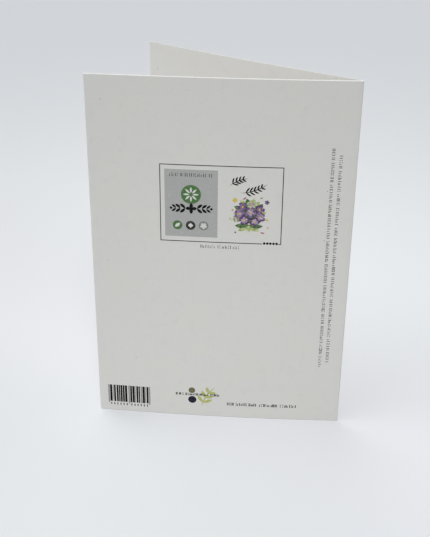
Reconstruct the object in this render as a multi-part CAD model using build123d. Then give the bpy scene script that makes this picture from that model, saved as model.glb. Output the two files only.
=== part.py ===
"""A folded greeting card that stands half open on its bottom edges.

The card is one sheet of thick recycled board, scored once and folded. Seen from above it is a V:
the fold is at the +X end, the back cover on the -Y side and the front cover on the +Y side. The
sheet has been packed flat against another one, so both covers are slightly bowed the same way.
Millimetres, +Z up along the fold. The origin is under the middle of the card's box.
"""

import os
from math import atan, degrees

from build123d import *

os.makedirs("parts", exist_ok=True)

# The cut sheet
cover_width = 119.0  # each cover, from the outside of the fold to its free edge
card_height = 171.0  # along the fold
board_thickness = 0.45  # recycled board of about 350 grams per square metre
cut_edge_round = 0.06  # the blade leaves the long free edges very slightly rounded

# How it stands
opening_angle = 33.2  # degrees, between straight lines from the fold to each free edge
back_bow = 1.63  # how far the middle of the back cover bulges out of the V
front_bow = 1.43  # how far the middle of the front cover bulges into the V

# The scored fold
fold_inner_radius = 0.15  # of the inner face, as if the board bent without bulging
score_depth = 0.07  # how deep the scoring rule pressed the outer face
score_reach = 0.50  # how far the pressed band runs up each cover, past the bend
bead_offset = 0.15  # the bead's centre, from the centre of the bend into the V
bead_bite = 0.08  # how far the bead's circle runs into the board behind it
bead_root_round = 0.08  # where the bead meets the inner faces
groove_overrun = 0.30  # the cutting outline of the pressed band starts this far outside the board


def end_turn(bow):
    """Degrees between a bowed cover's straight line and the way it leaves the fold."""
    return degrees(2 * atan(2 * bow / cover_width))


def bend_radius(bow):
    """Radius of a cover's middle layer, from how far it is bowed."""
    return cover_width**2 / (8 * bow)


back_lean = opening_angle / 2 + end_turn(back_bow)
front_lean = opening_angle / 2 - end_turn(front_bow)
fold_outer_radius = fold_inner_radius + board_thickness
cover_reach = cover_width - fold_outer_radius


def face_line(depth, reach):
    """Three arcs in a row, depth below the outer face: up the back cover, round the fold, up the front.

    The fold's centre is the plan's origin. The back cover turns towards its inner side and the front
    cover towards its outer side, so one radius grows and the other shrinks with depth.
    """
    middle_depth = board_thickness / 2
    back_middle = bend_radius(back_bow)
    front_middle = bend_radius(front_bow)
    bend = CenterArc(
        (0, 0),
        fold_outer_radius - depth,
        start_angle=back_lean - 90,
        arc_size=180 - back_lean - front_lean,
    )
    back = JernArc(
        start=bend @ 0,
        tangent=-(bend % 0),
        radius=back_middle + middle_depth - depth,
        arc_size=-degrees(reach / back_middle),
    )
    front = JernArc(
        start=bend @ 1,
        tangent=bend % 1,
        radius=front_middle - middle_depth + depth,
        arc_size=-degrees(reach / front_middle),
    )
    return back, bend, front


def band(outer_depth, inner_depth, reach):
    """The face between two depths, with its ends cut square across the board."""
    outer = face_line(outer_depth, reach)
    inner = face_line(inner_depth, reach)
    back_end = Line(outer[0] @ 1, inner[0] @ 1)
    front_end = Line(outer[2] @ 1, inner[2] @ 1)
    return make_face([*outer, *inner, back_end, front_end])


def corners(sketch, radius):
    """The corners of a sketch that lie on a circle of this radius round the fold's centre."""
    return [v for v in sketch.vertices() if abs(v.center().length - radius) < board_thickness / 20]


def folded_section():
    """The sheet's plan section: two covers, a thinned fold and the bead inside it."""
    section = band(0, board_thickness, cover_reach)
    free_edges = section.vertices().filter_by(lambda v: v.center().length > cover_width / 2)
    section = fillet(free_edges, cut_edge_round)

    pressed_band = band(-groove_overrun, score_depth, score_reach)
    section -= pressed_band
    shoulder_round = 0.4 * score_depth
    for depth in (0, score_depth):
        edge_point = face_line(depth, score_reach)[0] @ 1
        section = fillet(corners(section, edge_point.length), shoulder_round)

    bead_radius = bead_offset + fold_inner_radius + bead_bite
    into_the_v = Vector(-1, 0).rotate(Axis.Z, (back_lean - front_lean) / 2)
    bead = Pos(into_the_v * bead_offset) * Circle(bead_radius)
    section += bead
    root_corners = section.vertices().sort_by_distance(into_the_v * (bead_offset + bead_radius))[:2]
    return fillet(root_corners, bead_root_round)


section = folded_section()
card = extrude(section, card_height)
box = card.bounding_box()
folded_card = Pos(-box.center().X, -box.center().Y, -box.min.Z) * card
export_step(folded_card, "parts/folded_card.step")
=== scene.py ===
# %% [markdown]
# # A folded greeting card
#
# A greeting card is the simplest thing to fold and a hard one to make look real: a large, nearly
# white, nearly flat surface, where the eye finds nothing to hold on to but the light, the cut edges,
# the fold and the print. So the work goes into those four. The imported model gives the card's true
# size and place; everything here is fitted to it.

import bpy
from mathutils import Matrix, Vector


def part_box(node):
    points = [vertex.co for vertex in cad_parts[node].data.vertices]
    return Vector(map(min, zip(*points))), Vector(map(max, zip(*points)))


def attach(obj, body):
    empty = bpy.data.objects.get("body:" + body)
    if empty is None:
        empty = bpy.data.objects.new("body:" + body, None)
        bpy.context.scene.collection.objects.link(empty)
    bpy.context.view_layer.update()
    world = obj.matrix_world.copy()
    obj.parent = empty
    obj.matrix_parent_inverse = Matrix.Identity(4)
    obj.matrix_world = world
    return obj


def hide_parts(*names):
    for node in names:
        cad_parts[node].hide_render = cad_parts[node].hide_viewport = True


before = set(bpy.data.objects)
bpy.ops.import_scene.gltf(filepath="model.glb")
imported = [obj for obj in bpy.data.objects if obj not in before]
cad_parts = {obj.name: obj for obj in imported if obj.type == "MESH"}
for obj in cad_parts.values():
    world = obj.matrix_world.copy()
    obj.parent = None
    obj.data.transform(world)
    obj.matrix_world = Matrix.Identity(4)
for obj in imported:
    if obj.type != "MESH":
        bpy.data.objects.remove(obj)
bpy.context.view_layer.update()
CARD_NODE = "folded_card"

# %% [markdown]
# ## Millimetres and selection
#
# Blender works in metres and a card is measured in millimetres, so one short function turns one into
# the other. Operators act on whatever is selected, so each piece is edited inside a small block that
# selects that piece alone, and parts of it are picked by where they are or which way they face.

# %% Helpers for measuring, editing and picking
import math
import random
from contextlib import contextmanager

import bmesh
import bpy
from mathutils import Matrix, Vector


MM = 0.001


def mm(*values):
    """Millimetres as Blender's metres: a number for one value, a vector for several."""
    return Vector([v * MM for v in values]) if len(values) > 1 else values[0] * MM


def select_only(piece):
    """Leaves one piece selected and active."""
    bpy.ops.object.select_all(action="DESELECT")
    piece.select_set(True)
    bpy.context.view_layer.objects.active = piece


@contextmanager
def editing(piece):
    """Edit mode on one piece, which starts selected all over."""
    select_only(piece)
    bpy.ops.object.mode_set(mode="EDIT")
    bpy.ops.mesh.select_all(action="SELECT")
    yield
    bpy.ops.object.mode_set(mode="OBJECT")


def pick(kind, test):
    """In edit mode, selects the vertices ("VERT"), edges or faces that pass a test, and no others."""
    bpy.ops.mesh.select_mode(type=kind)
    bpy.ops.mesh.select_all(action="DESELECT")
    mesh = bmesh.from_edit_mesh(bpy.context.object.data)
    parts = {"VERT": mesh.verts, "EDGE": mesh.edges, "FACE": mesh.faces}[kind]
    for part in parts:
        part.select_set(test(part))
    mesh.select_flush_mode()
    bmesh.update_edit_mesh(bpy.context.object.data)


def cut_at(place, way):
    """In edit mode, cuts all of a piece at the plane through a place that faces this way."""
    bpy.ops.mesh.select_all(action="SELECT")
    bpy.ops.mesh.bisect(plane_co=place, plane_no=way)


def apply_place(piece):
    """Moves a piece's place, turn and scale into its mesh, so that its object sits at the origin."""
    select_only(piece)
    bpy.ops.object.transform_apply(location=True, rotation=True, scale=True)


def apply_modifiers(piece):
    """Applies a piece's modifiers in order."""
    select_only(piece)
    for modifier in list(piece.modifiers):
        bpy.ops.object.modifier_apply(modifier=modifier.name)


# %% [markdown]
# ## Shader maths as Python
#
# A material is a graph of nodes, and a formula in nodes is slow to read. This class wraps a socket so
# that a plus or a times adds the Math node for it, and one method adds any other node: its type, its
# settings, then what goes into its sockets.

# %% A material that is written as expressions
def math_node(operation):
    """A Python operator that adds one Math node."""
    def operator(flow, *others):
        return flow.shader.maths(operation, flow, *others)

    return operator


class Flow:
    """A value that flows through a material. Sums and products of it add Math nodes."""

    def __init__(self, shader, socket):
        self.shader = shader
        self.socket = socket

    def __rsub__(self, other):
        return self.shader.maths("SUBTRACT", other, self)

    __add__ = __radd__ = math_node("ADD")
    __mul__ = __rmul__ = math_node("MULTIPLY")
    __sub__ = math_node("SUBTRACT")
    __truediv__ = math_node("DIVIDE")
    __lt__ = math_node("LESS_THAN")
    __abs__ = math_node("ABSOLUTE")


class Graph:
    """A tree of nodes under construction."""

    def __init__(self, tree):
        self.tree = tree

    def node(self, kind, settings=None, sockets=None):
        """Adds a shader node, sets it up and fills its sockets, by name or number. Returns its outputs."""
        node = self.tree.nodes.new("ShaderNode" + kind)
        for key, value in (settings or {}).items():
            setattr(node, key, value)
        usable = [s for s in node.inputs if s.enabled]
        for key, value in (sockets or {}).items():
            socket = usable[key] if isinstance(key, int) else next(s for s in usable if s.name == key)
            self.fill(socket, value)
        return {s.name: Flow(self, s) for s in node.outputs if s.enabled}

    def fill(self, socket, value):
        """Links a flow to a socket, or writes a plain value on it."""
        if isinstance(value, Flow):
            self.tree.links.new(value.socket, socket)
        else:
            socket.default_value = value

    def maths(self, operation, *values):
        sockets = dict(enumerate(values))
        return self.node("Math", {"operation": operation}, sockets)["Value"]

    def ramp(self, flow, low, high):
        """0 below low, 1 above high, and smooth between them."""
        settings = {"interpolation_type": "SMOOTHSTEP"}
        sockets = {"Value": flow, "From Min": low, "From Max": high}
        return self.node("MapRange", settings, sockets)["Result"]

    def mix(self, share, first, second):
        """Blends two colours."""
        settings = {"data_type": "RGBA"}
        return self.node("Mix", settings, {"Factor": share, "A": first, "B": second})["Result"]

    def layers(self, colour, coats):
        """Lays coats over a colour in turn, each by its share and its own colour."""
        for share, tint in coats:
            colour = self.mix(share, colour, tint)
        return colour

    def noise(self, place, scale, detail=2.0):
        sockets = {"Vector": place, "Scale": scale, "Detail": detail}
        return self.node("TexNoise", None, sockets)["Fac"]

    def show_apart(self, unseen, seen, output):
        """Ends in two shaders: the camera and reflections meet the second, other light the first."""
        path = self.node("LightPath")
        share = self.maths("MAXIMUM", path["Is Camera Ray"], path["Is Glossy Ray"])
        share = self.maths("MAXIMUM", share, path["Is Transmission Ray"])
        both = self.node("MixShader", None, {0: share, 1: unseen, 2: seen})["Shader"]
        self.fill(self.tree.nodes[output].inputs["Surface"], both)


class Shader(Graph):
    """One material under construction, with a Principled shader at its end."""

    def __init__(self, name):
        self.material = bpy.data.materials.new(name)
        self.material.use_nodes = True
        super().__init__(self.material.node_tree)
        self.surface = self.tree.nodes["Principled BSDF"]

    def finish(self, colour, roughness, height, depth):
        """Feeds the shader: its colour and roughness, and a bump of this height and depth in metres."""
        self.fill(self.surface.inputs["Base Color"], colour)
        self.fill(self.surface.inputs["Roughness"], roughness)
        bump = self.node("Bump", None, {"Height": height, "Distance": depth, "Strength": 1.0})
        self.fill(self.surface.inputs["Normal"], bump["Normal"])
        return self.material


def paint(red, green, blue):
    """A colour as a paint chart gives it, from 0 to 255, turned into the linear light Blender uses."""
    def linear(level):
        share = level / 255
        return share / 12.92 if share <= 0.04045 else ((share + 0.055) / 1.055) ** 2.4

    return (linear(red), linear(green), linear(blue), 1.0)


# %% [markdown]
# ## The folded sheet
#
# Seen from above, the card is one closed line: round the fold, down the front cover, back again one
# board's thickness further in, and up the back cover. Nearly all of it is arcs. The covers are
# slightly bowed, as board is that has lain under other cards, and the fold is a tight round. Spin
# draws an arc from a single vertex, so the plan is drawn as with a pen: swing it round one centre
# after another, and close the line.
#
# The scoring rule presses a narrow band into the outer face, which leaves a faint shoulder on each
# side of the fold, and the board's layers bulge into a small bead on the inner side. Both are drawn,
# because they catch the light along the whole height of the card.

# %% The sheet's sizes
cover_width = 119.0
card_height = 171.0
board_thickness = 0.45
opening_angle = 33.2
back_bow = 1.63
front_bow = 1.43
fold_inner_radius = 0.15
score_depth = 0.07
score_reach = 0.50
shoulder_run = 0.14
bead_offset = 0.15
bead_bite = 0.08
cut_edge_round = 0.05
rollover = 0.28

fold_outer_radius = fold_inner_radius + board_thickness
cover_reach = cover_width - fold_outer_radius
COVER_STEPS = 48
FOLD_STEPS = 16


def end_turn(bow):
    """Degrees between a bowed cover's straight line and the way it leaves the fold."""
    return math.degrees(2 * math.atan(2 * bow / cover_width))


def bend_radius(bow):
    """Radius of a cover's middle layer, from how far it is bowed."""
    return cover_width**2 / (8 * bow)


def direction(degrees):
    """A step of one in the plan, towards an angle."""
    return Vector((math.cos(math.radians(degrees)), math.sin(math.radians(degrees)), 0))


# %% A pen that draws arcs and lines
JOIN_WITHIN = 0.002


def turned(place, centre, degrees):
    """Where a place in the plan comes to when it is swung round a centre."""
    return centre + Matrix.Rotation(math.radians(degrees), 3, "Z") @ (place - centre)


class Pen:
    """Draws a plan outline from one vertex: a line is an extrude and an arc is a spin."""

    def __init__(self, name, start):
        bpy.ops.mesh.primitive_plane_add(size=mm(1))
        self.piece = bpy.context.object
        self.piece.name = name
        self.place = start.copy()
        select_only(self.piece)
        bpy.ops.object.mode_set(mode="EDIT")
        bpy.ops.mesh.select_all(action="SELECT")
        bpy.ops.mesh.merge(type="CENTER")
        bpy.ops.transform.translate(value=start * MM)

    def line_to(self, place):
        step = (place - self.place) * MM
        bpy.ops.mesh.extrude_region_move(TRANSFORM_OT_translate={"value": step})
        self.place = place.copy()

    def swing(self, centre, degrees, steps):
        """Anticlockwise for a positive angle. Spin itself counts the other way."""
        angle = -math.radians(degrees)
        bpy.ops.mesh.spin(steps=steps, angle=angle, center=centre * MM, axis=(0, 0, 1))
        self.place = turned(self.place, centre, degrees)

    def close(self):
        bpy.ops.mesh.select_all(action="SELECT")
        bpy.ops.mesh.remove_doubles(threshold=mm(JOIN_WITHIN))
        bpy.ops.mesh.edge_face_add()


# %% Work out the arcs of the plan
back_lean = opening_angle / 2 + end_turn(back_bow)
front_lean = opening_angle / 2 - end_turn(front_bow)
fold_turn = 180 - back_lean - front_lean

up_back = direction(180 + back_lean)
out_of_back = direction(back_lean - 90)
up_front = direction(180 - front_lean)
out_of_front = direction(90 - front_lean)
into_the_v = direction(180 + (back_lean - front_lean) / 2)

middle_radius = fold_inner_radius + board_thickness / 2
back_centre = out_of_back * (middle_radius - bend_radius(back_bow))
front_centre = out_of_front * (middle_radius + bend_radius(front_bow))
pressed_radius = fold_outer_radius - score_depth
shoulder_end = score_reach + shoulder_run

bead_radius = bead_offset + fold_inner_radius + bead_bite
bead_centre = into_the_v * bead_offset
half_gap = (back_lean + front_lean) / 2
bead_wall = fold_inner_radius + bead_offset * math.sin(math.radians(half_gap))
bead_half_turn = half_gap + math.degrees(math.asin(bead_wall / bead_radius))
bead_foot = bead_offset * math.cos(math.radians(half_gap)) + math.sqrt(bead_radius**2 - bead_wall**2)
print("degrees turned at the fold:", round(fold_turn, 1))

# %% Draw the plan, one arc after another
FOLD_CENTRE = Vector((0, 0, 0))


def cover_turn(bow, reach):
    """Degrees that a cover turns over some of its reach."""
    return math.degrees(reach / bend_radius(bow))


pen = Pen("folded_sheet", out_of_back * pressed_radius)
pen.swing(FOLD_CENTRE, fold_turn, FOLD_STEPS)
pen.line_to(pen.place + up_front * score_reach)
pen.line_to(out_of_front * fold_outer_radius + up_front * shoulder_end)
pen.swing(front_centre, -cover_turn(front_bow, cover_reach - shoulder_end), COVER_STEPS)
pen.line_to(turned(out_of_front * fold_inner_radius, front_centre, -cover_turn(front_bow, cover_reach)))
pen.swing(front_centre, cover_turn(front_bow, cover_reach - bead_foot), COVER_STEPS)
pen.line_to(turned(into_the_v * bead_radius, FOLD_CENTRE, -bead_half_turn) + bead_centre)
pen.swing(bead_centre, 2 * bead_half_turn, FOLD_STEPS)
pen.line_to(turned(out_of_back * fold_inner_radius, back_centre, -cover_turn(back_bow, bead_foot)))
pen.swing(back_centre, -cover_turn(back_bow, cover_reach - bead_foot), COVER_STEPS)
back_corner = turned(out_of_back * fold_outer_radius, back_centre, -cover_turn(back_bow, cover_reach))
pen.line_to(back_corner)
pen.swing(back_centre, cover_turn(back_bow, cover_reach - shoulder_end), COVER_STEPS)
pen.line_to(out_of_back * pressed_radius + up_back * score_reach)
pen.close()
print("corners in the plan:", len(bmesh.from_edit_mesh(pen.piece.data).verts))

# %% [markdown]
# ## Raising the plan, and its cut edges
#
# The plan is extruded to the card's height. Where the guillotine's blade enters, on the outer face,
# the board rolls over a little, and where it leaves, the corner stays sharp. That rolled edge shows
# as a bright line along the top of a real card and as a dark one along its foot. Here the bright line
# at the top is partly a painted highlight: the rolled lip there gets the cut edge's light colour.
#
# A bevel that wide would tangle in the tight turns at the fold. So the sheet is cut at a few levels
# near its top and foot, and the outside of each level is drawn in by scaling it about the centre of
# its own arc. The other corners get a small plain bevel. Smooth shading would then tilt the light on
# the whole cover towards these narrow rounds, so a Weighted Normal modifier lets the large faces
# keep theirs.

# %% Find the outside of the sheet and draw it in
ROLL_STEPS = 4
LEVEL_SLACK = 0.001


def outer_stretch(place):
    """Which outer arc a place lies on: "back", "front" or "fold", or None on the inside of the V."""
    back_depth = bend_radius(back_bow) + board_thickness / 2 - (place - back_centre).length
    front_depth = (place - front_centre).length - bend_radius(front_bow) + board_thickness / 2
    if place.dot(into_the_v) < 0:
        stretch, depth = "fold", fold_outer_radius - place.length
    elif place.dot(out_of_back) > place.dot(out_of_front):
        stretch, depth = "back", back_depth
    else:
        stretch, depth = "front", front_depth
    return stretch if depth < board_thickness / 2 else None


def draw_in(height, amount):
    """Moves the outside of one level into the board, stretch by stretch."""
    draws = {
        "back": (back_centre, 1 - amount / bend_radius(back_bow)),
        "front": (front_centre, 1 + amount / bend_radius(front_bow)),
        "fold": (FOLD_CENTRE, 1 - amount / pressed_radius),
    }
    mesh = bmesh.from_edit_mesh(bpy.context.object.data)
    mesh.verts.index_update()
    at_level = [v for v in mesh.verts if abs(v.co.z - mm(height)) < mm(LEVEL_SLACK)]
    stretches = {v.index: outer_stretch(Vector((v.co.x, v.co.y, 0)) / MM) for v in at_level}
    for stretch, (centre, scale) in draws.items():
        pick("VERT", lambda v: stretches.get(v.index) == stretch)
        bpy.ops.transform.resize(value=(scale, scale, 1), center_override=centre * MM)


# %% Raise the plan to the card's height and round its cut edges
CUT_CORNER = 70
SMOOTH_BELOW = 25

bpy.ops.mesh.extrude_region_move(TRANSFORM_OT_translate={"value": mm(0, 0, card_height)})
bpy.ops.mesh.select_all(action="SELECT")
bpy.ops.mesh.normals_make_consistent(inside=False)
for step in range(ROLL_STEPS + 1):
    turn = math.radians(90 * step / ROLL_STEPS)
    amount = rollover * (1 - math.cos(turn))
    drop = rollover * (1 - math.sin(turn))
    for height in (drop, card_height - drop):
        if step < ROLL_STEPS:
            cut_at(mm(0, 0, height), (0, 0, 1))
        draw_in(height, amount)
bpy.ops.mesh.select_mode(type="EDGE")
bpy.ops.mesh.select_all(action="DESELECT")
bpy.ops.mesh.edges_select_sharp(sharpness=math.radians(CUT_CORNER))
bpy.ops.mesh.bevel(offset=mm(cut_edge_round), segments=2, affect="EDGES")
bpy.ops.object.mode_set(mode="OBJECT")
sheet = pen.piece
bpy.ops.object.shade_smooth_by_angle(angle=math.radians(SMOOTH_BELOW))
flat_first = sheet.modifiers.new("large faces stay flat", "WEIGHTED_NORMAL")
flat_first.keep_sharp = True
apply_modifiers(sheet)
print("corners in the raised sheet:", len(sheet.data.vertices))

# %% [markdown]
# ## Where the card stands
#
# The plan was drawn round the fold's centre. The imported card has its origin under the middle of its
# box, so the sheet is moved until both boxes share a middle. The two boxes are then compared, which
# shows at once if an arc went wrong.

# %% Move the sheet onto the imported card
def box_of(piece):
    places = [v.co for v in piece.data.vertices]
    low = Vector([min(p[axis] for p in places) for axis in range(3)])
    high = Vector([max(p[axis] for p in places) for axis in range(3)])
    return low, high


card_low, card_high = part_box(CARD_NODE)
sheet_low, sheet_high = box_of(sheet)
fold_axis = (card_low + card_high) / 2 - (sheet_low + sheet_high) / 2
sheet.location = fold_axis
apply_place(sheet)
difference = (sheet_high - sheet_low) - (card_high - card_low)
print("sheet against packed card, in mm:", [round(d / MM, 3) for d in difference])

# %% [markdown]
# ## A map of the unfolded sheet
#
# The board's clouds and fibres belong to the sheet, not to the room, so their pattern has to run on
# round the fold. The sheet gets a UV map laid out as if it were unfolded on a desk, in centimetres:
# the fold is zero, the front cover is to one side and the back cover to the other. The inner faces
# are set further along, so that a fibre doesn't show through on both sides of the board.

# %% Lay the unfolded map on the sheet
SHEET_MAP = "unfolded_cm"
INNER_SHIFT = 30.0
CM_PER_METRE = 100.0
INNER_FACING = -0.5

layer = sheet.data.uv_layers.new(name=SHEET_MAP)
for face in sheet.data.polygons:
    side = 1 if face.center.y > fold_axis.y else -1
    inner = face.normal.y * side < INNER_FACING
    for corner in face.loop_indices:
        place = sheet.data.vertices[sheet.data.loops[corner].vertex_index].co - fold_axis
        across = side * math.hypot(place.x, place.y) * CM_PER_METRE
        layer.uv[corner].vector = (across + INNER_SHIFT * inner, place.z * CM_PER_METRE)
print("corners on the map:", len(layer.uv))

# %% [markdown]
# ## Recycled board
#
# Recycled board is never one flat colour. Close to, it has faint clouds where the pulp was thicker, a
# few dark specks of old ink, and single hair-like fibres that lie at any angle. All of it is very
# quiet. The specks and fibres come from Voronoi cells: each gives its own centre and a random colour,
# and the place measured from that centre, turned by that random amount, is enough to draw one short
# curved hair.

# %% Colours and sizes of the board
BOARD = paint(213, 212, 209)
BOARD_WARM = paint(213, 212, 207)
BOARD_CLOUD = paint(209, 208, 205)
BOARD_MOTTLE = paint(207, 206, 203)
SPECK = paint(92, 88, 84)
FIBRE = paint(158, 150, 128)
CUT_EDGE_AND_LIP_HIGHLIGHT = paint(244, 244, 241)
CUT_LAYER_AND_LIP_HIGHLIGHT = paint(234, 234, 230)
BOARD_ROUGHNESS, CUT_ROUGHNESS, ROUGHNESS_SPREAD = 0.62, 0.8, 0.2
GRAIN_DEPTH, LAYER_DEPTH = 0.006, 0.01

SMALLEST_SPECK, SPECK_SOFT_FROM = 0.5, 0.6
FIBRE_HALF_WIDTH, FIBRE_CURL = 0.005, 0.17
CURL_SPREAD, CURL_BACK = 2, 0.6
FIBRE_CORE, FIBRE_TAPER = 0.4, 0.7


def cells(shader, place, per_cm):
    """Voronoi cells: how far a place is from its cell's centre, the way there, and random numbers."""
    settings = {"voronoi_dimensions": "2D"}
    found = shader.node("TexVoronoi", settings, {"Vector": place, "Scale": per_cm})
    away = shader.node("VectorMath", {"operation": "SUBTRACT"}, {0: place, 1: found["Position"]})
    away = shader.node("SeparateXYZ", None, {"Vector": away["Vector"]})
    chance = shader.node("SeparateColor", None, {"Color": found["Color"]})
    return away, chance


def specks(shader, place, per_cm, radius_cm, share):
    """Small round specks in a share of the cells, each of its own size."""
    away, chance = cells(shader, place, per_cm)
    reach = shader.maths("SQRT", away["X"] * away["X"] + away["Y"] * away["Y"])
    size = radius_cm * (SMALLEST_SPECK + chance["Green"])
    return (chance["Red"] < share) * (1 - shader.ramp(reach / size, SPECK_SOFT_FROM, 1.0))


def fibres(shader, place, per_cm, share, half_length):
    """One thin curved hair in a share of the cells, turned by its cell's random number."""
    curl = FIBRE_CURL / half_length
    away, chance = cells(shader, place, per_cm)
    turn = chance["Green"] * (2 * math.pi)
    cosine = shader.maths("COSINE", turn)
    sine = shader.maths("SINE", turn)
    along = away["X"] * cosine + away["Y"] * sine
    beside = away["Y"] * cosine - away["X"] * sine
    off_line = abs(beside - along * along * curl * (chance["Blue"] * CURL_SPREAD - CURL_BACK))
    thin = 1 - shader.ramp(off_line, FIBRE_HALF_WIDTH * FIBRE_CORE, FIBRE_HALF_WIDTH)
    ends = 1 - shader.ramp(abs(along), half_length * FIBRE_TAPER, half_length)
    return (chance["Red"] < share) * thin * ends


# %% The board's two finishes: its faces, and its cut edges with a painted highlight on the top lip
def board_face():
    shader = Shader("recycled_board")
    place = shader.node("UVMap", {"uv_map": SHEET_MAP})["UV"]
    warmth = shader.ramp(shader.noise(place, scale=0.6, detail=3), 0.35, 0.65)
    clouds = shader.ramp(shader.noise(place, scale=2.3, detail=5), 0.5, 0.75)
    mottle = shader.ramp(shader.noise(place, scale=14, detail=3), 0.45, 0.7)
    grain = shader.noise(place, scale=22, detail=3)
    long_hairs = fibres(shader, place, per_cm=0.62, share=0.4, half_length=0.07)
    short_hairs = fibres(shader, place, per_cm=1.7, share=0.14, half_length=0.035)
    faint_specks = specks(shader, place, per_cm=1.25, radius_cm=0.012, share=0.16)
    dark_specks = specks(shader, place, per_cm=0.8, radius_cm=0.02, share=0.15)
    colour = shader.layers(BOARD, (
        (warmth, BOARD_WARM), (clouds * 0.7, BOARD_CLOUD), (mottle * 0.4, BOARD_MOTTLE),
        (long_hairs * 0.8, FIBRE), (short_hairs, FIBRE),
        (faint_specks * 0.45, SPECK), (dark_specks * 0.9, SPECK),
    ))
    return shader.finish(colour, BOARD_ROUGHNESS + grain * ROUGHNESS_SPREAD, grain, mm(GRAIN_DEPTH))


def board_edge_and_lip_highlight():
    """The cut edge is lighter and rougher than the faces, with a finer grain. On the top's rolled lip the
    same light colour is a painted highlight.
    """
    shader = Shader("recycled_board_cut_edge_and_painted_lip_highlight")
    place = shader.node("TexCoord")["Object"]
    layers = shader.noise(place, scale=2400, detail=2)
    colour = shader.mix(shader.ramp(layers, 0.4, 0.7), CUT_EDGE_AND_LIP_HIGHLIGHT, CUT_LAYER_AND_LIP_HIGHLIGHT)
    return shader.finish(colour, CUT_ROUGHNESS, layers, mm(LAYER_DEPTH))


sheet.data.materials.append(board_face())
sheet.data.materials.append(board_edge_and_lip_highlight())
CUT_NORMAL = 0.12
SIDE_NORMAL = 0.7
FOLD_ZONE = 5
# Painted highlight: every face of the lip rolled up at the top gets the cut edge's light colour, while the
# foot's lip keeps the face colour until it faces well downwards.
for face in sheet.data.polygons:
    upright_or_rolled_down = -SIDE_NORMAL < face.normal.z < CUT_NORMAL
    facing_out = abs(face.normal.y) > SIDE_NORMAL or face.center.x > fold_axis.x - mm(FOLD_ZONE)
    face.material_index = 0 if upright_or_rolled_down and facing_out else 1

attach(sheet, "root")
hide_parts(CARD_NODE)
print("faces in the sheet:", len(sheet.data.polygons))

# %% [markdown]
# ## Printing on the back cover
#
# Each patch of ink is a very thin piece of its own, which keeps its edge sharp from any distance. It
# is drawn flat on a page: x runs from the cover's free edge to the fold and y up from its foot, as a
# printer would measure it. The page is then held in front of the cover and pressed onto it with
# Shrinkwrap. Before that the piece is cut into narrow upright strips, so that it can follow the bow,
# and after it Solidify gives the film a thickness that reaches just into the board.
#
# Shapes of one ink that overlap are pressed one by one, each a hair above the last. Two films at the
# very same height would shade each other, because a ray can't tell which of them is on top.

# %% The page, and how a piece is pressed onto the cover
page_corner = fold_axis + back_corner * MM
page_fold = fold_axis + out_of_back * mm(fold_outer_radius)
page_right = (page_fold - page_corner).normalized()
page_out = page_right.cross(Vector((0, 0, 1)))
PAGE = Matrix((page_right, (0, 0, 1), page_out)).transposed().to_4x4()
PAGE.translation = Vector((page_corner.x, page_corner.y, 0))
PAGE_GAP = 5.0
STRIP_WIDTH = 2.5
FILM_STEP = 0.005
FILM_ROOT = 0.004
OVERLAP_STEP = 0.05


def cut_into_strips(piece):
    """Cuts a flat piece along upright lines, so that it can bend."""
    low, high = box_of(piece)
    with editing(piece):
        first, last = (math.ceil(edge.x / mm(STRIP_WIDTH)) for edge in (low, high))
        for line in range(first, last):
            cut_at((line * mm(STRIP_WIDTH), 0, 0), (1, 0, 0))


def press(piece, layer):
    """Wraps a flat piece onto the back cover as a film. A higher layer lies over a lower one."""
    cut_into_strips(piece)
    if sum(face.normal.z * face.area for face in piece.data.polygons) < 0:
        with editing(piece):
            bpy.ops.mesh.flip_normals()
    piece.matrix_world = PAGE @ Matrix.Translation(mm(0, 0, PAGE_GAP))
    wrap = piece.modifiers.new("wrap", "SHRINKWRAP")
    wrap.target = sheet
    wrap.wrap_method = "PROJECT"
    wrap.wrap_mode = "ABOVE_SURFACE"
    wrap.use_project_z = True
    wrap.use_positive_direction = False
    wrap.use_negative_direction = True
    wrap.offset = mm(FILM_STEP * layer)
    film = piece.modifiers.new("film", "SOLIDIFY")
    film.thickness = mm(FILM_STEP * layer + FILM_ROOT)
    film.offset = -1
    apply_modifiers(piece)
    apply_place(piece)


def joined(pieces):
    """Makes several pieces one."""
    select_only(pieces[0])
    for piece in pieces[1:]:
        piece.select_set(True)
    if len(pieces) > 1:
        bpy.ops.object.join()
    return bpy.context.object


def print_film(name, pieces, ink="black", slot="black_ink", layer=1):
    """Prints shapes as one film. Each is pressed a hair above the last, so they may overlap."""
    for count, piece in enumerate(pieces):
        press(piece, layer + count * OVERLAP_STEP)
    piece = joined(pieces)
    piece.name = name
    piece.data.materials.clear()
    piece.data.materials.append(INKS[ink])
    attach(piece, "root")
    print("printed", name, "in", ink)


# %% [markdown]
# ## Ink on uncoated board
#
# Ink soaks into board that has no coating. It dries matt, and its solid areas are slightly uneven,
# where a fibre took less of it. One function makes every ink from its colour, with that unevenness
# and the board's own fine grain. The inks of the little painting get a second tint, and the two run
# into each other as wet colours do. Sunk ink hardly reflects the bright room, and a black that
# mirrored it would look grey, so its specular level is low.

# %% Mix the inks
INK_GLOSS = 0.08
INK_ROUGHNESS = 0.65
INK_GRAIN, INK_CLOUDS, INK_RUNS = 2200, 900, 1000


def mix_ink(name, colour, unevenness=0.10, second_tint=None):
    """An ink through which a little board shows, as far as it is uneven."""
    shader = Shader(name)
    shader.surface.inputs["Specular IOR Level"].default_value = INK_GLOSS
    place = shader.node("TexCoord")["Object"]
    grain = shader.noise(place, INK_GRAIN, 3)
    if second_tint:
        colour = shader.mix(shader.ramp(shader.noise(place, INK_RUNS, 2), 0.4, 0.6), colour, second_tint)
    cover = shader.ramp(shader.noise(place, INK_CLOUDS, 2), 0.45, 0.8) * unevenness
    colour = shader.mix(cover, colour, BOARD)
    return shader.finish(colour, INK_ROUGHNESS + grain * ROUGHNESS_SPREAD, grain, mm(GRAIN_DEPTH))


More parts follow.
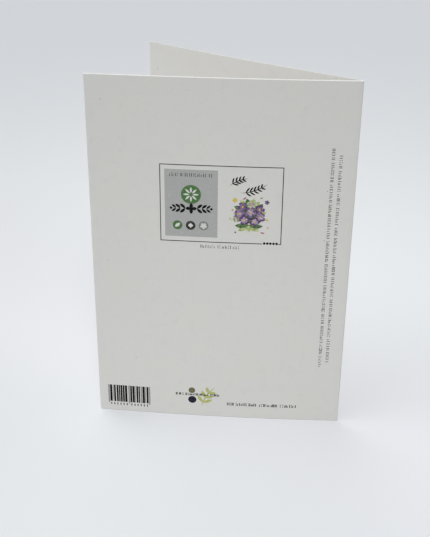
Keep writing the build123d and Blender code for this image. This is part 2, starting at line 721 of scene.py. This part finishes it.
INKS = {
    "black": mix_ink("black_ink", paint(18, 17, 18), 0.03),
    "grey": mix_ink("grey_ink", paint(170, 171, 169), 0.14),
    "charcoal": mix_ink("charcoal_ink", paint(56, 54, 55), 0.06),
    "mid_grey": mix_ink("mid_grey_ink", paint(128, 129, 126)),
    "green": mix_ink("green_ink", paint(78, 116, 68)),
    "leaf_wash": mix_ink("leaf_green_wash", paint(148, 164, 96), 0.12, paint(188, 199, 150)),
    "green_wash": mix_ink("dark_green_wash", paint(58, 88, 48), 0.08, paint(104, 132, 86)),
    "violet_wash": mix_ink("violet_wash", paint(78, 56, 92), 0.06, paint(108, 82, 122)),
    "purple_wash": mix_ink("purple_wash", paint(104, 78, 116), 0.08, paint(142, 120, 154)),
    "lilac_wash": mix_ink("lilac_wash", paint(146, 126, 158), 0.12, paint(188, 172, 196)),
    "navy": mix_ink("navy_ink", paint(38, 34, 50), 0.05),
    "olive": mix_ink("olive_ink", paint(106, 103, 72)),
    "lime": mix_ink("yellow_green_ink", paint(176, 179, 112)),
    "yellow": mix_ink("yellow_ink", paint(206, 184, 78)),
    "red": mix_ink("red_ink", paint(168, 92, 108)),
    "orange": mix_ink("orange_ink", paint(208, 160, 112)),
    "bare": mix_ink("unprinted_board", BOARD, 0.0),
}
print("inks:", ", ".join(INKS))

# %% [markdown]
# ## Flat shapes to print with
#
# Print is built from few shapes: a plate, a disc, a lozenge, a leaf and a blossom. Each starts as a
# primitive of the right size and is shaped from there. A leaf is a disc whose ends are drawn out, and
# Simple Deform can bend it, which turns the same shape into a curved stem or a brush stroke.

# %% Plates, discs and lozenges
def put(piece, x, y, degrees=0.0):
    """Turns a flat piece and moves it to its place on the page."""
    piece.rotation_euler.z = math.radians(degrees)
    piece.location = mm(x, y, 0)
    apply_place(piece)
    return piece


def plate(x, y, width, height):
    """A flat plate, by its lower left corner."""
    bpy.ops.mesh.primitive_plane_add(size=1)
    piece = bpy.context.object
    piece.scale = (*mm(width, height), 1)
    return put(piece, x + width / 2, y + height / 2)


def disc(x, y, radius, corners=40):
    bpy.ops.mesh.primitive_circle_add(vertices=corners, radius=mm(radius), fill_type="NGON")
    return put(bpy.context.object, x, y)


def lozenge(x, y, width, height):
    piece = disc(0, 0, 0.5, 4)
    piece.scale = (width, height, 1)
    return put(piece, x, y)


# %% A leaf: a disc with drawn-out ends, which may be bent
LEAF_CORNERS = 24
ENDS_FROM = 0.45
END_STRETCH = 1.18
END_WIDTH = 0.55


def leaf(x, y, length, width, degrees, bend=0.0):
    """A pointed leaf with its foot at x, y. A positive bend curves it to its left."""
    piece = disc(0, 0, 0.5, LEAF_CORNERS)
    with editing(piece):
        pick("VERT", lambda v: abs(v.co.x) > mm(ENDS_FROM))
        bpy.ops.transform.resize(value=(END_STRETCH, END_WIDTH, 1), center_override=(0, 0, 0))
    piece.scale = (length / END_STRETCH, width, 1)
    put(piece, length / 2, 0)
    if bend:
        curve = piece.modifiers.new("curve", "SIMPLE_DEFORM")
        curve.deform_method = "BEND"
        curve.deform_axis = "Z"
        curve.angle = math.radians(bend)
        apply_modifiers(piece)
    return put(piece, x, y, degrees)


def spray(x, y, reach, leaves):
    """Leaves that point outwards round x, y, each by its direction, length, width and bend."""
    pieces = []
    for degrees, length, width, bend in leaves:
        foot = direction(degrees) * reach
        pieces.append(leaf(x + foot.x, y + foot.y, length, width, degrees, bend))
    return pieces


# %% A twig: a bent stem with pairs of leaves
FIRST_PAIR, PAIRS_REACH = 0.18, 0.7
TIP_SHRINKS = 0.4
TWIG_LEAF_BEND = 12


def on_arc(length, bend, share):
    """Where a bent stem has got to at some share of its length, and its direction there in degrees."""
    turn = math.radians(bend)
    radius = length / turn
    return radius * math.sin(turn * share), radius * (1 - math.cos(turn * share)), bend * share


def twig(x, y, length, degrees, bend, stem_width, pairs, leaf_length, leaf_width, spread):
    """The leaves shorten towards the tip of the stem. The stem's foot is at x, y."""
    parts = [leaf(x, y, length, stem_width, degrees, bend)]
    for count in range(pairs):
        run, rise, heading = on_arc(length, bend, FIRST_PAIR + PAIRS_REACH * count / pairs)
        foot = Matrix.Rotation(math.radians(degrees), 2) @ Vector((run, rise))
        foot_x, foot_y = x + foot.x, y + foot.y
        reach = leaf_length * (1 - TIP_SHRINKS * count / pairs)
        for side in (-1, 1):
            turn = degrees + heading + side * spread
            parts.append(leaf(foot_x, foot_y, reach, leaf_width, turn, -TWIG_LEAF_BEND * side))
    return parts


# %% A blossom: a disc that is drawn in between its petals
NOTCH = (0.42, 0.74, 0.92)
CORNERS_PER_PETAL = 12


def blossom(x, y, radius, turn=0.0, petals=5):
    piece = disc(0, 0, radius, petals * CORNERS_PER_PETAL)
    corner_angle = 2 * math.pi / (petals * CORNERS_PER_PETAL)

    def steps_from_notch(vertex):
        corner = round(math.atan2(vertex.co.y, vertex.co.x) / corner_angle) % CORNERS_PER_PETAL
        return min(corner, CORNERS_PER_PETAL - corner)

    with editing(piece):
        for step, share in enumerate(NOTCH):
            pick("VERT", lambda v: steps_from_notch(v) == step)
            bpy.ops.transform.resize(value=(share, share, 1), center_override=(0, 0, 0))
    return put(piece, x, y, turn)


# %% [markdown]
# ## The ruled frame
#
# A thin black rule runs round the little panel in the middle of the cover. A plate is inset by the
# rule's width and its middle is taken out, which leaves the four sides with square corners. The rule
# stops short near one corner, where a row of small studs takes its place.

# %% Rule the frame and leave its gap
frame_left, frame_foot, frame_right, frame_top = 32.13, 95.1, 87.2, 132.1
rule_width = 0.38
gap_left, gap_right = 78.6, 85.9


def in_gap(face):
    middle = face.calc_center_bounds()
    return mm(gap_left) < middle.x < mm(gap_right) and middle.y < mm(frame_foot + rule_width)


rule = plate(frame_left, frame_foot, frame_right - frame_left, frame_top - frame_foot)
with editing(rule):
    bpy.ops.mesh.inset(thickness=mm(rule_width))
    bpy.ops.mesh.delete(type="FACE")
    for line in (gap_left, gap_right):
        cut_at(mm(line, 0, 0), (1, 0, 0))
    pick("FACE", in_gap)
    bpy.ops.mesh.delete(type="FACE")
print_film("frame_rule", [rule])

# %% The row of studs in the frame's gap
STUDS = 5
stud_radius, stud_pitch, last_stud_inset = 0.64, 1.4, 0.75
first_stud = gap_right - last_stud_inset - (STUDS - 1) * stud_pitch
stud_y = frame_foot + 0.45
studs = [disc(first_stud + stud_pitch * count, stud_y, stud_radius, 8) for count in range(STUDS)]
print_film("frame_studs", [joined(studs)])

# %% [markdown]
# ## The grey field
#
# The left part of the panel is a solid grey field with a round green badge, a black ornament and
# three small round badges. The lighter marks on them would be bare board in print. Here they are thin
# pieces in the board's own colour, which look the same and are simpler than holes.

# %% Lay the grey field
field_left, field_foot, field_width, field_height = 34.35, 97.6, 23.85, 32.2
field_middle = field_left + field_width / 2
print_film("grey_field", [plate(field_left, field_foot, field_width, field_height)], "grey", "grey_ink")

# %% The round badge, with a rosette of eight narrow petals
badge_x, badge_y, badge_radius = field_middle - 0.1, 118.1, 4.5
petal_foot, petal_length, petal_width = 0.75, 2.75, 0.85
print_film("round_badge", [disc(badge_x, badge_y, badge_radius, 56)], "green", "green_ink", 2)
petals = [(turn, petal_length, petal_width, 0) for turn in range(0, 360, 45)]
rosette = spray(badge_x, badge_y, petal_foot, petals)
print_film("badge_rosette", rosette, "bare", "card_board", 3)

# %% The black ornament: a four-petalled flower between two rows of paired leaves
ornament_y = 111.4
ornament_leaves = ((2.7, 3.2, 1.3), (4.9, 2.9, 1.2), (6.9, 2.5, 1.0))
ornament_spread, ornament_bend = 52, -24
tip_reach, tip_size = 9.1, 1.5
petals = [(turn, 2.6, 1.6, 0) for turn in (0, 90, 180, 270)]
ornament = spray(field_middle, ornament_y, 0, petals)
for side, facing in ((1, 0), (-1, 180)):
    for reach, length, width in ornament_leaves:
        for lift in (-side, side):
            turn, bend = facing + lift * ornament_spread, lift * ornament_bend
            ornament.append(leaf(field_middle + side * reach, ornament_y, length, width, turn, bend))
    ornament.append(lozenge(field_middle + side * tip_reach, ornament_y, tip_size, tip_size))
print_film("black_ornament", ornament, layer=2)

# %% Three small round badges, each with its own plain mark
small_badge_y, small_badge_radius = 103.15, 2.2
left_x, middle_x, right_x = 40.05, 46.0, 51.9
small_badges = (
    ("left", left_x, "green", "green_ink"),
    ("middle", middle_x, "charcoal", "dark_grey_ink"),
    ("right", right_x, "mid_grey", "dark_grey_ink"),
)
for word, x, ink, slot in small_badges:
    print_film(f"small_badge_{word}", [disc(x, small_badge_y, small_badge_radius)], ink, slot, 2)
marks = [
    leaf(left_x - 1.1, small_badge_y - 0.9, 2.9, 1.5, 40),
    lozenge(middle_x, small_badge_y, 2.4, 2.4),
    blossom(right_x, small_badge_y, 1.5, 18),
]
print_film("small_badge_marks", [joined(marks)], "bare", "card_board", 3)

# %% [markdown]
# ## Small print as rows of strokes
#
# Small print is too fine to read at arm's length: it makes a grey line with a rhythm of words. A row
# of upright strokes gives that line without spelling anything. One stroke is drawn and copied along
# the row at uneven steps, with a wider step after each word. Every stroke is cut in three, and some
# lose their top or middle third at random, so that the row isn't a plain ladder.

# %% A row of upright strokes
THIRDS = (1 / 3, 2 / 3)
FIRST_WORD, LATER_WORDS = (4, 10), (5, 15)
STEP_SHARES = (0.6, 1.4)
LAST_STEPS = 1.5
WORD_SPACE = 0.9
TOP_LOST, MIDDLE_LOST = 0.25, 0.2
SAME_STROKE = 0.01


def small_print(length, height, stroke, pitch, seed):
    """Strokes in word-like groups, from the origin along x."""
    rng = random.Random(seed)
    piece = plate(0, 0, stroke, height)
    feet = [0.0]
    strokes_left = rng.randint(*FIRST_WORD)
    with editing(piece):
        for share in THIRDS:
            cut_at(mm(0, height * share, 0), (0, 1, 0))
        bpy.ops.mesh.select_all(action="SELECT")
        while feet[-1] < length - LAST_STEPS * pitch:
            strokes_left -= 1
            step = pitch * rng.uniform(*STEP_SHARES)
            if strokes_left == 0:
                step += pitch * WORD_SPACE
                strokes_left = rng.randint(*LATER_WORDS)
            feet.append(feet[-1] + step)
            bpy.ops.mesh.duplicate_move(TRANSFORM_OT_translate={"value": mm(step, 0, 0)})
        draws = [rng.random() for foot in feet]

        def lost(face):
            middle = face.calc_center_median() / MM
            foot_x = middle.x - stroke / 2
            draw = next(draw for foot, draw in zip(feet, draws) if abs(foot_x - foot) < SAME_STROKE)
            third = int(3 * middle.y / height)
            return third == 2 and draw < TOP_LOST or third == 1 and draw > 1 - MIDDLE_LOST

        pick("FACE", lost)
        bpy.ops.mesh.delete(type="FACE")
    return piece


def small_print_row(name, place, strokes, degrees=0, **printing):
    """Prints a row from a place: its length, then its strokes' height, width, pitch and seed."""
    print_film(name, [put(small_print(*strokes), *place, degrees)], **printing)


# %% Set the small print
small_print_row("field_small_print", (36.6, 126.5), (19.4, 1.6, 0.25, 0.82, 3), layer=2)
dark_grey = {"ink": "charcoal", "slot": "dark_grey_ink"}
small_print_row("panel_small_print", (50.5, 92.25), (18.1, 1.6, 0.27, 0.82, 5), **dark_grey)
small_print_row("foot_small_print", (63.9, 6.95), (34.9, 1.6, 0.42, 0.9, 8))
small_print_row("fold_small_print_outer", (110.9, 138.1), (104.5, 1.4, 0.28, 0.8, 11), -90)
small_print_row("fold_small_print_inner", (107.5, 141.2), (110.5, 1.4, 0.28, 0.8, 12), -90)

# %% [markdown]
# ## The bar code
#
# A bar code of the usual kind is ninety-five modules wide. A grid one cell high makes it, with the
# light modules taken out. The bars here come from a seeded random walk of one to five modules and
# stand for no article. The guard bars at both ends and in the middle reach lower than the rest, and
# between them is a row of plain short strokes.

# %% Choose the bars
code_left, code_foot, code_width, code_height = 4.35, 5.2, 21.1, 9.75
MODULES = 95
GUARDS = {0, 2, 46, 48, 92, 94}
BESIDE_MIDDLE_GUARD = {45, 47, 49}
BAR_WIDTHS, SPACE_WIDTHS = (1, 3, 4, 5), (1, 1, 1, 2)
last_bar = MODULES - 4

rng = random.Random(38)
dark, at = set(GUARDS), 3
while at < last_bar:
    wide = rng.choice(BAR_WIDTHS)
    dark.update(range(at + 1, min(at + 1 + wide, last_bar)))
    at += wide + rng.choice(SPACE_WIDTHS)
dark -= BESIDE_MIDDLE_GUARD
print("dark modules:", len(dark), "of", MODULES)

# %% Draw the bars
guard_drop = 0.8
ON_LINE = 0.001

bpy.ops.mesh.primitive_grid_add(x_subdivisions=MODULES, y_subdivisions=1, size=1)
bars = bpy.context.object
bars.scale = (*mm(code_width, code_height), 1)
put(bars, code_left + code_width / 2, code_foot + code_height / 2)


def module_of(place):
    return int((place.x - mm(code_left)) / mm(code_width / MODULES))


def under_guard(edge):
    """Whether an edge is the foot of a guard bar."""
    first, last = (v.co for v in edge.verts)
    at_foot = all(abs(end.y - mm(code_foot)) < mm(ON_LINE) for end in (first, last))
    return at_foot and module_of((first + last) / 2) in GUARDS


with editing(bars):
    pick("FACE", lambda f: module_of(f.calc_center_median()) not in dark)
    bpy.ops.mesh.delete(type="FACE")
    pick("EDGE", under_guard)
    bpy.ops.transform.translate(value=mm(0, -guard_drop, 0))
print_film("bar_code", [bars])

# %% The short strokes between the guard bars
TALLY_GROUP = 6
tally_foot, tally_height, tally_stroke, tally_pitch = 3.25, 1.3, 0.5, 1.58
tally = [
    plate(group_left + count * tally_pitch, tally_foot, tally_stroke, tally_height)
    for group_left in (5.5, 15.8) for count in range(TALLY_GROUP)
]
print_film("bar_code_tally", [joined(tally)], **dark_grey)

# %% [markdown]
# ## The mark at the foot
#
# Beside the bar code sits a small coloured mark: a yellow-green twig with an olive and a navy berry
# beside it, and a row of small print across its middle.

# %% Lay the twig and its berries
mark_twig = twig(
    51.3, 5.7, length=13.2, degrees=78, bend=-36, stem_width=0.8,
    pairs=3, leaf_length=4.9, leaf_width=1.6, spread=56,
)
print_film("mark_twig", mark_twig, "lime", "olive_ink")
print_film("mark_olive_berry", [disc(46.4, 14.7, 1.65, 32)], "olive", "olive_ink")
print_film("mark_navy_berry", [disc(46.6, 9.3, 2.05, 32)], "navy", "navy_ink")
small_print_row("mark_small_print", (38.4, 11.8), (21.8, 1.25, 0.5, 0.85, 15), layer=2)

# %% [markdown]
# ## The painted posy
#
# The right part of the panel holds a small painting: a dense round posy of purple blossoms with
# leaves in two greens. A painter works from back to front, and so do the layers: leaves first, then
# one row of blossoms after another. Each blossom gets a smaller, lighter one inside it and a yellow
# eye. Round the posy are a few loose petals, and above it two twigs in black brush.

# %% Leaves and stems round the posy
posy_x, posy_y = 72.5, 109.6
tie_x, tie_y = 72.3, 104.4
leaf_foot_reach, leaf_width, leaf_bend = 3.0, 2.3, 16
STEMS = (252, 265, 277, 291)
LOW_LIGHT_LEAVES = ((222, 5.6, 2.2, -22), (-42, 5.6, 2.2, 22))
LOW_DARK_LEAVES = ((194, 6.3, 2.3, -20), (-14, 6.3, 2.3, 20))
LIGHT_LEAVES = ((118, 5.0), (175, 4.4), (72, 5.0), (52, 4.6), (4, 4.5))
DARK_LEAVES = ((148, 4.8), (205, 4.8), (36, 4.8), (-24, 4.8), (96, 4.6))


def leaves_round_posy(leaves):
    """Leaves of one width and bend, each by its direction and length."""
    leaves = [(turn, length, leaf_width, leaf_bend) for turn, length in leaves]
    return spray(posy_x, posy_y, leaf_foot_reach, leaves)


light = leaves_round_posy(LIGHT_LEAVES)
light += spray(tie_x, tie_y, 0, LOW_LIGHT_LEAVES)
light += spray(tie_x, tie_y, 0, [(turn, 3.9, 0.55, 0) for turn in STEMS])
dark_green = leaves_round_posy(DARK_LEAVES)
dark_green += spray(tie_x, tie_y, 0, LOW_DARK_LEAVES)
shade = disc(posy_x, posy_y + 0.3, 4.7, 32)
print_film("posy_light_leaves", light, "leaf_wash", "leaf_green_ink")
print_film("posy_dark_leaves", [shade, *dark_green], "green_wash", "green_ink", 2)

# %% Blossoms from back to front
BLOSSOMS = (
    ("pale", "leaf_wash", "lilac_wash",
     (73.4, 114.3, 2.2, 50), (66.6, 107.4, 1.7, 20)),
    ("back", "violet_wash", "purple_wash",
     (69.4, 113.1, 2.3, 12), (77.0, 112.0, 2.3, 30)),
    ("middle", "purple_wash", "lilac_wash",
     (68.0, 109.7, 2.4, 40), (77.3, 108.2, 2.4, 5), (73.0, 110.6, 2.6, 22)),
    ("front", "violet_wash", "lilac_wash",
     (70.3, 106.7, 2.4, 60), (74.9, 106.1, 2.3, 33)),
)
HEART_SHARE, EYE_SHARE = 0.6, 0.2
LAYERS_EACH = 3
for depth, (word, outer_ink, inner_ink, *places) in enumerate(BLOSSOMS):
    layer = (depth + 1) * LAYERS_EACH
    petals, hearts, eyes = [], [], []
    for x, y, radius, turn in places:
        petals.append(blossom(x, y, radius, turn))
        hearts.append(blossom(x, y, radius * HEART_SHARE, turn))
        eyes.append(disc(x, y, radius * EYE_SHARE, 16))
    print_film(f"blossoms_{word}", petals, outer_ink, "purple_ink", layer)
    print_film(f"blossom_hearts_{word}", hearts, inner_ink, "purple_ink", layer + 1)
    print_film(f"blossom_eyes_{word}", eyes, "yellow", "accent_ink", layer + 2)

# %% Loose petals and buds round the posy
loose = (
    ("yellow", "accent_ink",
     blossom(65.9, 116.2, 1.15, 10), disc(80.5, 107.0, 0.5, 16)),
    ("violet_wash", "purple_ink",
     blossom(80.2, 115.5, 1.05, 35), disc(66.3, 100.6, 0.4, 16)),
    ("red", "accent_ink",
     leaf(69.4, 116.6, 1.9, 0.7, 24, 30),
     leaf(77.6, 101.0, 2.1, 0.7, -30, 40)),
    ("leaf_wash", "leaf_green_ink",
     leaf(64.6, 106.3, 1.8, 0.9, 130),
     leaf(76.9, 117.2, 1.6, 0.8, 20)),
    ("orange", "accent_ink",
     disc(64.9, 111.4, 0.5, 16), disc(80.9, 103.3, 0.42, 16)),
)
for ink, slot, *pieces in loose:
    print_film(f"loose_petals_{ink}", [joined(pieces)], ink, slot)

# %% Two twigs in black brush
brush = {"stem_width": 0.45, "leaf_width": 0.74, "spread": 50}
upper_twig = twig(63.4, 122.9, length=9.2, degrees=40, bend=-32, pairs=4, leaf_length=2.9, **brush)
lower_twig = twig(68.4, 119.6, length=12.8, degrees=4, bend=34, pairs=5, leaf_length=3.1, **brush)
print_film("brushed_twig_upper", upper_twig)
print_film("brushed_twig_lower", lower_twig)

# %% [markdown]
# ## The table
#
# The card stands on a pale, slightly cool table that runs on as far as the eye can see: a plain
# plane, large enough to fill every view, and quite matt. Its colour is the background, with a painted
# pool of light brightest just behind the card and painted shade a little darker in front and far
# behind. A table so bright would throw too much light up at the card's foot, so what the camera sees
# of it and what it throws back at the card are two shaders, which Light Path tells apart.

# %% Lay the table
# Painted light and shade on the table: its colours in front, round the card's foot, behind it and far
# away.
TABLE_FRONT_PAINTED_SHADE = paint(218, 221, 224)
TABLE_MIDDLE_PAINTED_LIGHT = paint(227, 229, 233)
TABLE_BACK_PAINTED_LIGHT = paint(232, 235, 238)
TABLE_FAR_PAINTED_SHADE = paint(224, 227, 231)
TABLE_BOUNCE = paint(193, 196, 200)
TABLE_SIZE = 12
SLANT = 0.25

bpy.ops.mesh.primitive_plane_add(size=TABLE_SIZE)
table = bpy.context.object
table.name = "table"
shader = Shader("table_top")
shader.surface.inputs["Specular IOR Level"].default_value = 0
place = shader.node("TexCoord")["Object"]
along = shader.node("SeparateXYZ", None, {"Vector": place})
backwards = along["X"] * SLANT + along["Y"]
away = shader.node("VectorMath", {"operation": "LENGTH"}, {0: place})["Value"]
# Painted pool of light and shade: lighter round the card's foot and behind it, darker in front and far
# off.
shade = shader.layers(TABLE_FRONT_PAINTED_SHADE, (
    (shader.ramp(backwards, -0.11, 0), TABLE_MIDDLE_PAINTED_LIGHT),
    (shader.ramp(backwards, 0.02, 0.2), TABLE_BACK_PAINTED_LIGHT),
    (shader.ramp(away, 0.15, 1), TABLE_FAR_PAINTED_SHADE),
))
roughness = 0.6 + shader.noise(place, scale=40) * 0.1
table.data.materials.append(shader.finish(shade, roughness, shader.noise(place, scale=400), mm(0.01)))
bounce = shader.node("BsdfDiffuse", None, {"Color": TABLE_BOUNCE})["BSDF"]
seen = Flow(shader, shader.surface.outputs["BSDF"])
shader.show_apart(bounce, seen, "Material Output")
print("table:", TABLE_SIZE, "m wide")

# %% [markdown]
# ## Light
#
# The room is bright and soft. Most of the light is the world: the same from everywhere, and a share
# more from overhead, from behind and above all from the left. Each of those shares fades to nothing
# at a right angle to its direction, which a clipped component of the direction gives. One large
# feathered lamp in front adds the pool of light that the card stands in.
#
# What the camera sees of the world is again another matter: past the far edge of the table it sees
# one plain colour, much like the far table's, so that the card has the same backdrop from any side.

# %% Light the world from all round, with more from three sides
LIGHT_ALL_ROUND = 0.23
LIGHT_FROM = {"Z": (1, 0.30), "X": (-1, 1.77), "Y": (1, 0.25)}
BACKDROP = paint(209, 212, 215)

world = bpy.data.worlds.new("bright_room")
bpy.context.scene.world = world
world.use_nodes = True
room = Graph(world.node_tree)
way = room.node("TexCoord")["Generated"]
split = room.node("SeparateXYZ", None, {"Vector": way})
strength = LIGHT_ALL_ROUND
for axis, (side, share) in LIGHT_FROM.items():
    limits = {"Value": split[axis], "From Max": side, "To Max": share}
    strength = room.node("MapRange", None, limits)["Result"] + strength
white_light = {"Color": (1, 1, 1, 1), "Strength": strength}
lit = room.node("Background", None, white_light)["Background"]
shown = room.node("Background", None, {"Color": BACKDROP})["Background"]
room.show_apart(lit, shown, "World Output")
print("light from", list(LIGHT_FROM), "beside the same from all round")

# %% Hang the feathered lamp
lamp_place = Vector((0.40, -0.95, 0.90))
lamp_target = Vector((0.035, -0.08, 0.03))
lamp = bpy.data.lights.new("feathered_lamp", "SPOT")
lamp.spot_size = math.radians(26)
lamp.spot_blend = 1.0
lamp.shadow_soft_size = 0.25
lamp.energy = 46
lamp_holder = bpy.data.objects.new("feathered_lamp", lamp)
bpy.context.scene.collection.objects.link(lamp_holder)
lamp_holder.location = lamp_place
lamp_holder.rotation_euler = (lamp_target - lamp_place).to_track_quat("-Z", "Y").to_euler()
print("lamp:", lamp.energy, "W,", round((lamp_target - lamp_place).length, 2), "m from the table")

# %% [markdown]
# ## Camera
#
# The camera looks at the back cover from slightly above and to the right of its middle. Its place,
# tilt and lens were worked out from the perspective of the card's outline in the photograph.

# %% Set up the camera
camera_place = mm(135.5, -379.3, 267.7)
look_down, look_left, roll = 25.75, 20.84, 0.56

camera_data = bpy.data.cameras.new("camera")
camera_data.lens = 62.05
camera_data.sensor_width = 36
camera_data.clip_start = 0.01
camera = bpy.data.objects.new("camera", camera_data)
bpy.context.scene.collection.objects.link(camera)
turn = Matrix.Rotation(math.radians(look_left), 4, "Z")
tilt = Matrix.Rotation(math.radians(90 - look_down), 4, "X")
lean = Matrix.Rotation(math.radians(roll), 4, "Z")
camera.matrix_world = Matrix.Translation(camera_place) @ turn @ tilt @ lean
bpy.context.scene.camera = camera
bpy.context.scene.view_settings.view_transform = "Standard"
print("camera:", round(camera_place.length, 2), "m away, lens", round(camera_data.lens, 2), "mm")
